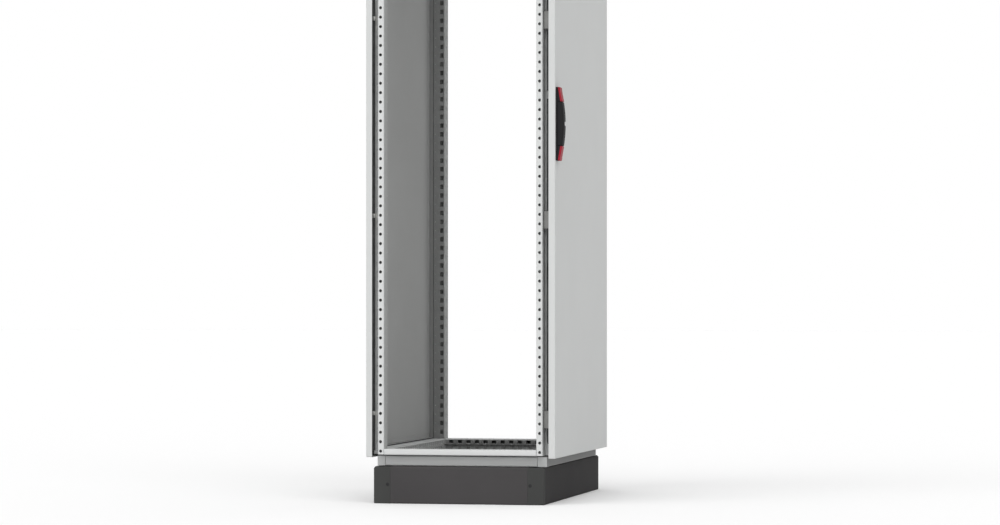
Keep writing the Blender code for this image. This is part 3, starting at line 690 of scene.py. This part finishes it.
def build_rails():
    level_of_face = RAIL_FACE - HALF_SHEET
    inner = POST_DEPTH - HALF_SHEET
    face_path = [(POST_DEPTH - SHEET - CLEARANCE, HALF_SHEET), (HALF_SHEET, HALF_SHEET),
                 (HALF_SHEET, level_of_face), (inner, level_of_face),
                 (inner, RAIL_FACE - RAIL_WEB)]
    width = COLUMN_TO_INSIDE + COLUMN_TO_SIDE
    lip_path = [(-LIP_LENGTH - LIP_BITE, level_of_face), (width - HALF_SHEET, level_of_face),
                (width - HALF_SHEET, RAIL_FACE - RAIL_WEB)]
    skirt_path = [(width - SHEET - CLEARANCE, HALF_SHEET), (HALF_SHEET, HALF_SHEET),
                  (HALF_SHEET, RAIL_FACE - SHEET)]
    reach_y = POST_INSIDE_Y - CLEARANCE
    reach_x = HALF_X - POST_DEPTH - CLEARANCE
    for level, foot, up in (("bottom", FRAME_FOOT - RAIL_DROP, 1), ("top", FRAME_TOP, -1)):
        for name, sign in ENDS:
            # Painted shade: the skins inside the rail and its web's side towards the cabinet's
            # middle take the darkest grey, which also darkens what shows through its holes.
            rail = folded(f"rail_{level}_{name}", face_path, -reach_y, reach_y,
                          lambda a, b, c: (sign * (HALF_X - a), MIDDLE_Y + c, foot + up * b),
                          rail_cuts(reach_y, 3), shaded_sides={0: -1, 1: -1, 2: -1, 3: 1})
            place_piece(smooth(rail), (FRAME_GREY, DEEP_SHADE_GREY), "frame",
                        [f"{level}_rail_{name}"])
        for name, sign in SIDES:
            def world(a, b, c):
                return (c, MIDDLE_Y + sign * (POST_SIDE_Y - a), foot + up * b)

            # The web's side towards the cabinet takes the painted shade of the inside.
            web = folded("web", lip_path, -reach_x, reach_x, world, rail_cuts(reach_x, 1),
                         shaded_sides={1: 1})
            skirt = folded("skirt", skirt_path, -reach_x, reach_x, world)
            rail = joined(f"rail_{level}_{name}", [web, skirt])
            place_piece(smooth(rail), (FRAME_GREY, INSIDE_SHADE_GREY), "frame",
                        [f"{level}_rail_{name}"])


# ---- panels and seals ------------------------------------------------------------------
def build_panels():
    # Their inner skins take the painted shade of the cabinet's inside.
    rear = tray("rear_sheet", REAR_LOW, REAR_HIGH, 1, -1)
    place_piece(rear, (POWDER_GREY, INSIDE_SHADE_GREY), "frame", ["rear_panel"])
    roof = tray("roof_sheet", ROOF_LOW, ROOF_HIGH, 2, -1, ROOF_ROUND)
    place_piece(roof, (POWDER_GREY, INSIDE_SHADE_GREY), "frame", ["roof_panel"])
    door = tray("door_sheet", DOOR_LOW, DOOR_HIGH, 1, 1)
    place_piece(door, (POWDER_GREY, INSIDE_SHADE_GREY), "door", ["door_panel"])


SEAL_OUTSIDE = 0.006
SEAL_INSIDE = 0.0030
SEAL_ROUND = 0.0012
CHANNEL_SHEET = 0.0014
CHANNEL_FOOT = 0.0115
CHANNEL_RIM_DROP = 0.0010   # its rim lies this far behind the foam's face
NOTCH_HALF = 0.0014
NOTCH_TAPER = 0.8
ARC_STEPS = 4


def seal_profile(back, face, way):
    """Foam section: rounded edges towards the lip, and the notch that the lip presses in."""
    angles = [math.pi / 2 * step / ARC_STEPS for step in range(ARC_STEPS + 1)]
    points = [(-SEAL_INSIDE, back), (SEAL_OUTSIDE, back)]
    points += [(SEAL_OUTSIDE - SEAL_ROUND * (1 - math.cos(angle)),
                face - way * SEAL_ROUND * (1 - math.sin(angle))) for angle in angles]
    bite = face - way * (LIP_BITE + CLEARANCE)
    points += [(NOTCH_HALF, face), (NOTCH_HALF * NOTCH_TAPER, bite),
               (-NOTCH_HALF * NOTCH_TAPER, bite), (-NOTCH_HALF, face)]
    points += [(-SEAL_INSIDE + SEAL_ROUND * (1 - math.sin(angle)),
                face - way * SEAL_ROUND * (1 - math.cos(angle))) for angle in angles]
    return points


def build_seals():
    """Each seal is foam in a folded channel fixed to the inside of its panel."""
    lip_x = HALF_X - POST_DEPTH + HALF_SHEET
    lip_z = FRAME_FOOT + RAIL_FACE - HALF_SHEET
    top_z = FRAME_FOOT + FRAME_TOP - lip_z
    for node, body, way in (("door_seal", "door", 1), ("rear_panel_seal", "frame", -1)):
        low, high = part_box(node)
        back, face = (low.y, high.y) if way > 0 else (high.y, low.y)
        ring = swept_ring(f"{node}_foam", seal_profile(back, face, way), lip_x, lip_z, top_z,
                          lambda x, z, y: (x, y, z))
        place_piece(smooth(ring), SEAL_BLACK, body, [node])
        inner = -SEAL_INSIDE - CHANNEL_SHEET
        rim = face - way * CHANNEL_RIM_DROP
        skin = back + way * CHANNEL_SHEET
        section = [(inner, rim), (inner, skin), (inner - CHANNEL_FOOT, skin),
                   (inner - CHANNEL_FOOT, back), (inner + CHANNEL_SHEET, back),
                   (inner + CHANNEL_SHEET, rim)]
        # The channel takes the painted shade of the inside, its inner wall the darker painted
        # shade.
        channel = swept_ring(f"{node}_channel", section, lip_x, lip_z, top_z,
                             lambda x, z, y: (x, y, z), second=(0,))
        place_piece(soften(channel, 0.0004, 2), (INSIDE_SHADE_GREY, DEEP_SHADE_GREY), body)


CLIP_FEET = (0.205, 0.730, 1.255, 1.780)
CLIP_HEIGHT = 0.038
CLIP_SHEET = 0.0014
CLIP_TAB = 0.011
CLIP_STAND = 0.0075         # the tab stands this far off the lip, clear of the foam
CLIP_BEND = 0.0012
STRIP_REACH = (-0.0045, -0.0003)            # from the lip's tip, as the next two
TAB_REACH = (-0.0075, -0.0012, 0.0060)
CLIP_SCREW_PLACE = 0.0014
CLIP_SCREW = ((0, 0.0040), (0.0018, 0.0040), (0.0025, 0.0033), (0.0028, 0.0020))


def build_rear_clips():
    """Spring clips on the rear lips, each with a screw that holds the rear panel."""
    lip = POST_DEPTH - SHEET - CLIP_SHEET / 2 - CLEARANCE
    tip = COLUMN_TO_SIDE + LIP_LENGTH
    for side, sx in ENDS:
        def world(a, b, z):
            return (sx * (HALF_X - a), MIDDLE_Y + COLUMN_Y + b, z)

        for index, foot in enumerate(CLIP_FEET, 1):
            top = foot + CLIP_HEIGHT
            strip = folded("strip", [(lip, tip + reach) for reach in STRIP_REACH], foot,
                           top - CLIP_TAB - CLEARANCE, world, thickness=CLIP_SHEET)
            root, bend, end = (tip + reach for reach in TAB_REACH)
            tab = folded("tab", [(lip, root), (lip, bend), (lip - CLIP_STAND, bend),
                                 (lip - CLIP_STAND, end)], top - CLIP_TAB, top, world,
                         thickness=CLIP_SHEET, radius=CLIP_BEND)
            spot = world(lip - CLIP_STAND - CLIP_SHEET / 2, tip + CLIP_SCREW_PLACE,
                         top - CLIP_TAB / 2)
            head = turned_solid("head", CLIP_SCREW, spot, (sx, 0, 0), 20)
            clip = joined(f"rear_clip_{side}_{index}", [strip, tab, head])
            place_piece(smooth(clip), ZINC_BRIGHT, "frame")


PANEL_SCREW_INSET = 0.020
PANEL_SCREW_HEAD = 0.0050
ROOF_CAP_INSET = 0.034
ROOF_CAP_RADIUS = 0.0095
ROOF_CAP_PROFILE = ((0, 1), (0.0012, 1), (0.0022, 0.93), (0.0026, 0.80), (0.0022, 0.55))


def build_skin_fixings():
    """Screws of the rear panel, level with its clips, and caps of the roof's eyebolt holes."""
    depth = (ROOF_HIGH.y - ROOF_LOW.y) / 2
    profile = [(along, ROOF_CAP_RADIUS * share) for along, share in ROOF_CAP_PROFILE]
    for side, sx in ENDS:
        for index, foot in enumerate(CLIP_FEET, 1):
            spot = (sx * (REAR_HIGH.x - PANEL_SCREW_INSET), REAR_HIGH.y,
                    foot + CLIP_HEIGHT - CLIP_TAB / 2)
            screw(f"rear_screw_{side}_{index}", spot, (0, 1, 0), PANEL_SCREW_HEAD, ZINC, "frame")
        for y_name, sy in SIDES:
            spot = (sx * (ROOF_HIGH.x - ROOF_CAP_INSET), MIDDLE_Y + sy * (depth - ROOF_CAP_INSET),
                    ROOF_HIGH.z)
            cap = turned_solid(f"roof_cap_{y_name}_{side}", profile, spot, (0, 0, 1), 32)
            place_piece(smooth(cap), PLASTIC_BLACK, "frame")


# ---- door furniture --------------------------------------------------------------------
KEEPER_BEND = 0.0018
KEEPER_HOLE_INSET = 0.005
KEEPER_HOLE_RADIUS = 0.0022
ROD_ROUND = 0.0022
ROD_CHAMFER = 0.001
ROD_TIP = ((0.014, 1), (0.002, 0.72), (0, 0.5))     # from its end, with the share of its size
GUIDE_CHEEK = 0.0016
GUIDE_BELOW_ROD = 0.0015


def dress(node, material, width, segments):
    """A finish and edge rounding for a machined piece that stays as it is."""
    obj = frame["nodes"][node]
    obj.data.materials.clear()
    obj.data.materials.append(material)
    soften(obj, width, segments, 50)


def build_hinges():
    for index in range(1, 5):
        for part in ("frame_leaf", "door_leaf", "pin"):
            dress(f"hinge_{part}_{index}", ZINC, 0.0003, 1)


def build_keepers():
    for index in range(1, 5):
        low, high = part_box(f"rod_keeper_{index}")
        near, far = low.x + HALF_SHEET, high.x - HALF_SHEET
        back = high.y - HALF_SHEET
        path = [(near, low.y), (near, back), (far, back), (far, low.y)]
        cuts = {1: [circle((place, (low.z + high.z) / 2), KEEPER_HOLE_RADIUS, 12)
                    for place in (KEEPER_HOLE_INSET,
                                  high.x - low.x - SHEET - KEEPER_HOLE_INSET)]}
        keeper = folded(f"keeper_{index}", path, low.z, high.z,
                        lambda a, b, c: (a, b, c), cuts, radius=KEEPER_BEND)
        # The keepers take the zinc darkened with painted shade.
        place_piece(smooth(keeper), ZINC_SHADE, "frame", [f"rod_keeper_{index}"])


def build_rods():
    for name in ("upper", "lower"):
        node = f"lock_rod_{name}"
        low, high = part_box(node)
        centre = ((low.x + high.x) / 2, (low.y + high.y) / 2)
        size = (high.x - low.x, high.y - low.y)
        tip, root = (high.z, low.z) if name == "upper" else (low.z, high.z)
        way = 1 if name == "upper" else -1
        levels = [(root, 0.9), (root + way * ROD_CHAMFER, 1)]
        levels += [(tip - way * back, share) for back, share in ROD_TIP]
        rows = []
        for z, share in levels:
            outline = rounded_rectangle(centre, (size[0] * share, size[1] * share),
                                        ROD_ROUND * share)
            rows.append([(x, y, z) for x, y in outline])
        rod = loft(f"rod_{name}", rows)
        place_piece(smooth(rod), ROD_BLACK, f"rod_{name}", [node])
        build_guide(name, high.y - GUIDE_BELOW_ROD)


def build_guide(name, tip):
    """A moulded guide: a block behind the rod with two cheeks beside it, as high as `tip`."""
    low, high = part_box(f"rod_guide_{name}")
    near, far = low.x - CLEARANCE, high.x + CLEARANCE
    outline = [(near - GUIDE_CHEEK, low.y), (far + GUIDE_CHEEK, low.y), (far + GUIDE_CHEEK, tip),
               (far, tip), (far, high.y), (near, high.y), (near, tip), (near - GUIDE_CHEEK, tip)]
    rows = [[(x, y, z) for x, y in outline] for z in (low.z, high.z)]
    guide = soften(loft(f"guide_{name}", rows), 0.0005)
    place_piece(guide, PLASTIC_BLACK, "door", [f"rod_guide_{name}"])


# ---- handle ----------------------------------------------------------------------------
DOOR_FACE_Y = DOOR_LOW.y
HANDLE_X = (GRIP_LOW.x + GRIP_HIGH.x) / 2
HANDLE_HALF = (BASE_PLATE_HIGH.x - BASE_PLATE_LOW.x) / 2
HANDLE_FOOT, HANDLE_TOP = BASE_PLATE_LOW.z, BASE_PLATE_HIGH.z
HANDLE_MIDDLE = (HANDLE_FOOT + HANDLE_TOP) / 2
END_RISE = 0.0105
MIDDLE_RISE = DOOR_FACE_Y - GRIP_LOW.y + 0.0012
BODY_BACK = BASE_PLATE_LOW.y - 2 * CLEARANCE
CAP_THICKNESS = 0.0048
CATCH_RECESSES = ((HANDLE_MIDDLE, (0.011, 0.024)), (HANDLE_FOOT + 0.022, (0.013, 0.028)))
RECESS_DEPTH = 0.0030
BASE_ROUND = 0.004
RIB_DEPTH = 0.0009
RIB_PITCH = 0.0036
RIB_MARGIN = 0.006          # a cap's ends are plain over this length
RIB_FADE = 0.004
POCKET_DEPTH = 0.0145
POCKET_OVERRUN = 0.002


def handle_rise(z):
    """How far the bowed handle stands off the door at height z."""
    share = (z - HANDLE_MIDDLE) / ((HANDLE_TOP - HANDLE_FOOT) / 2)
    return END_RISE + (MIDDLE_RISE - END_RISE) * math.cos(share * math.pi / 2)


def handle_row(z, back, front, inset, radius):
    """Cross-section of the handle at height z, rounded towards its front."""
    half = HANDLE_HALF - inset
    radius = min(radius, max(0.0003, (back - front) * 0.45))
    points = [(HANDLE_X + half, back), (HANDLE_X - half, back)]
    for side, start in ((-1, math.pi), (1, 1.5 * math.pi)):
        for step in range(6):
            angle = start + math.pi / 2 * step / 5
            points.append((HANDLE_X + side * (half - radius) + radius * math.cos(angle),
                           front + radius + radius * math.sin(angle)))
    return [(x, y, z) for x, y in points]


def lever_part(name, low, high, front_of, back_of, steps, end_round=0.0010, radius=0.004):
    """A slice of the handle between two heights, its ends slightly rounded."""
    heights = [low + (high - low) * step / steps for step in range(steps + 1)]
    first, last = (handle_row(z, back_of(z) - end_round / 2, front_of(z) + end_round,
                              end_round, radius) for z in (low, high))
    heights[0] += end_round
    heights[-1] -= end_round
    rows = [first, *(handle_row(z, back_of(z), front_of(z), 0.0, radius) for z in heights), last]
    return smooth(loft(name, rows), 50)


def build_handle():
    """Base plate with two recesses, and the bowed lever: two ribbed caps on beds, and the grip."""
    low, high = BASE_PLATE_LOW, BASE_PLATE_HIGH
    rows = []
    for y, inset in ((high.y, 0.0004), (high.y - 0.0004, 0), (low.y + 0.0010, 0),
                     (low.y + 0.0003, 0.0004), (low.y, 0.0012)):
        outline = rounded_rectangle((HANDLE_X, HANDLE_MIDDLE),
                                    (2 * (HANDLE_HALF - inset),
                                     HANDLE_TOP - HANDLE_FOOT - 2 * inset), BASE_ROUND, 5)
        rows.append([(x, y, z) for x, z in outline])
    base = smooth(loft("handle_plate", rows))
    for number, (z, size) in enumerate(CATCH_RECESSES, 1):
        outline = rounded_rectangle((HANDLE_X, z), size, 0.002)
        cutter = loft("recess_cutter", [[(x, y, z) for x, z in outline]
                                        for y in (low.y + RECESS_DEPTH, low.y - RECESS_DEPTH)])
        carve(base, cutter, f"Recess {number}")
    place_piece(base, PLASTIC_BLACK, "door", ["handle_base"])

    def front(z):
        return DOOR_FACE_Y - handle_rise(z)

    def under_cap(z):
        return front(z) + CAP_THICKNESS

    def flat_back(z):
        return BODY_BACK

    def ribbed(cap_low, cap_high):
        def front_with_ribs(z):
            near = min(z - cap_low, cap_high - z)
            fade = max(0.0, min(1.0, (near - RIB_MARGIN) / RIB_FADE))
            wave = 0.5 - 0.5 * math.cos(2 * math.pi * (z - cap_low) / RIB_PITCH)
            return front(z) + RIB_DEPTH * wave * fade
        return front_with_ribs

    for node, name, body in (("handle_hub_cap", "hub", "handle_hub"),
                             ("handle_tip_cap", "tip", "handle_lever")):
        cap_low, cap_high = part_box(node)
        cap = lever_part(f"handle_{name}_red", cap_low.z, cap_high.z,
                         ribbed(cap_low.z, cap_high.z), under_cap, steps=60)
        place_piece(cap, PLASTIC_RED, body, [node])
        bed = lever_part(f"handle_{name}_bed", cap_low.z, cap_high.z,
                         lambda z: under_cap(z) + 0.0001, flat_back, steps=12, radius=0.0006)
        place_piece(bed, PLASTIC_BLACK, body)

    grip = lever_part("handle_lever_grip", GRIP_LOW.z, GRIP_HIGH.z, front, flat_back, steps=40,
                      end_round=0.0020, radius=0.005)
    lock_low, lock_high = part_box("lock_cylinder")
    radius = (lock_high.x - lock_low.x) / 2 + CLEARANCE
    cutter = turned_solid("pocket_cutter", [(-POCKET_OVERRUN, radius), (POCKET_DEPTH, radius)],
                          (HANDLE_X, lock_high.y + CLEARANCE + POCKET_OVERRUN, HANDLE_MIDDLE),
                          (0, -1, 0), 40)
    carve(grip, cutter, "Pocket")
    place_piece(grip, PLASTIC_BLACK, "handle_lever", ["handle_grip"])


def carve(obj, cutter, name):
    """Cut one closed mesh out of another, for good."""
    modifier = obj.modifiers.new(name, "BOOLEAN")
    modifier.operation = "DIFFERENCE"
    modifier.solver = "EXACT"
    modifier.object = cutter
    obj.modifiers.move(len(obj.modifiers) - 1, 0)
    with bpy.context.temp_override(object=obj, active_object=obj, selected_objects=[obj]):
        bpy.ops.object.modifier_apply(modifier=name)
    bpy.data.objects.remove(cutter, do_unlink=True)


def dress_lock():
    dress("lock_cylinder", CHROME, 0.0004, 2)
    dress("lock_spindle", ROD_BLACK, 0.0003, 2)


# ---- stage -----------------------------------------------------------------------------
CAMERA_PLACE = (-9.197, -1.9683 + MIDDLE_Y, 0.5258)
CAMERA_WAY = (0.97848, 0.20634, 0.0)
LENS = 123.26
SHIFT = (-0.0005, 0.0422)
HORIZON_LIGHT = 0.29
ZENITH_LIGHT = 0.98
KEY_WAY = (1.0, -0.05, -0.80)
KEY_STRENGTH = 1.62
KEY_SPREAD = 90
FLOOR_COLOUR = 0.84
FLOOR_GLOW = 0.10


def build_camera():
    data = bpy.data.cameras.new("camera")
    data.lens = LENS
    data.sensor_width = 36
    data.shift_x, data.shift_y = SHIFT
    data.clip_end = 200
    camera = bpy.data.objects.new("camera", data)
    camera.location = CAMERA_PLACE
    camera.rotation_euler = Vector(CAMERA_WAY).to_track_quat("-Z", "Y").to_euler()
    bpy.context.scene.collection.objects.link(camera)
    bpy.context.scene.camera = camera


def build_world():
    """White wherever it is seen directly or mirrored, and a plain ambient light elsewhere."""
    world = bpy.data.worlds.new("studio")
    bpy.context.scene.world = world
    world.use_nodes = True
    nodes, links = world.node_tree.nodes, world.node_tree.links
    background = nodes["Background"]
    background.inputs["Color"].default_value = (1, 1, 1, 1)
    way = nodes.new("ShaderNodeTexCoord")
    parts = nodes.new("ShaderNodeSeparateXYZ")
    links.new(way.outputs["Generated"], parts.inputs[0])
    light = nodes.new("ShaderNodeMapRange")
    light.inputs["To Min"].default_value = HORIZON_LIGHT
    light.inputs["To Max"].default_value = ZENITH_LIGHT
    links.new(parts.outputs["Z"], light.inputs["Value"])
    seen = nodes.new("ShaderNodeLightPath")
    either = nodes.new("ShaderNodeMath")
    either.operation = "MAXIMUM"
    links.new(seen.outputs["Is Camera Ray"], either.inputs[0])
    links.new(seen.outputs["Is Glossy Ray"], either.inputs[1])
    any_seen = nodes.new("ShaderNodeMath")
    any_seen.operation = "MAXIMUM"
    links.new(either.outputs[0], any_seen.inputs[0])
    links.new(seen.outputs["Is Transmission Ray"], any_seen.inputs[1])
    strength = nodes.new("ShaderNodeMix")
    strength.data_type = "FLOAT"
    strength.inputs["B"].default_value = 1.0
    links.new(any_seen.outputs[0], strength.inputs["Factor"])
    links.new(light.outputs["Result"], strength.inputs["A"])
    links.new(strength.outputs["Result"], background.inputs["Strength"])


def build_floor():
    bm = bmesh.new()
    bmesh.ops.create_grid(bm, x_segments=2, y_segments=2, size=60)
    floor = new_object("floor", bm)
    for polygon in floor.data.polygons:
        if polygon.normal.z < 0:
            polygon.flip()
    material = bpy.data.materials.new("studio_floor")
    material.use_nodes = True
    nodes, links = material.node_tree.nodes, material.node_tree.links
    shader = nodes["Principled BSDF"]
    shader.inputs["Base Color"].default_value = (FLOOR_COLOUR, FLOOR_COLOUR, FLOOR_COLOUR, 1)
    shader.inputs["Roughness"].default_value = 0.9
    shader.inputs["Specular IOR Level"].default_value = 0.0
    glow = nodes.new("ShaderNodeEmission")
    glow.inputs["Color"].default_value = (1, 1, 1, 1)
    seen = nodes.new("ShaderNodeLightPath")
    strength = nodes.new("ShaderNodeMath")
    strength.operation = "MULTIPLY"
    strength.inputs[1].default_value = FLOOR_GLOW
    links.new(seen.outputs["Is Camera Ray"], strength.inputs[0])
    links.new(strength.outputs[0], glow.inputs["Strength"])
    both = nodes.new("ShaderNodeAddShader")
    links.new(shader.outputs[0], both.inputs[0])
    links.new(glow.outputs[0], both.inputs[1])
    links.new(both.outputs[0], nodes["Material Output"].inputs["Surface"])
    floor.data.materials.append(material)


def build_key():
    data = bpy.data.lights.new("key", "SUN")
    data.energy = KEY_STRENGTH
    data.angle = math.radians(KEY_SPREAD)
    key = bpy.data.objects.new("key", data)
    key.rotation_euler = Vector(KEY_WAY).to_track_quat("-Z", "Y").to_euler()
    key.location = (-3, 2, 3)
    bpy.context.scene.collection.objects.link(key)


# ---- build -----------------------------------------------------------------------------
build_camera()
build_world()
build_floor()
build_key()
bpy.context.scene.view_settings.view_transform = "Standard"

build_plinth()
build_plinth_screws()
build_base()
build_posts()
build_rails()
build_panels()
build_seals()
build_rear_clips()
build_skin_fixings()
build_hinges()
build_keepers()
build_rods()
build_handle()
dress_lock()
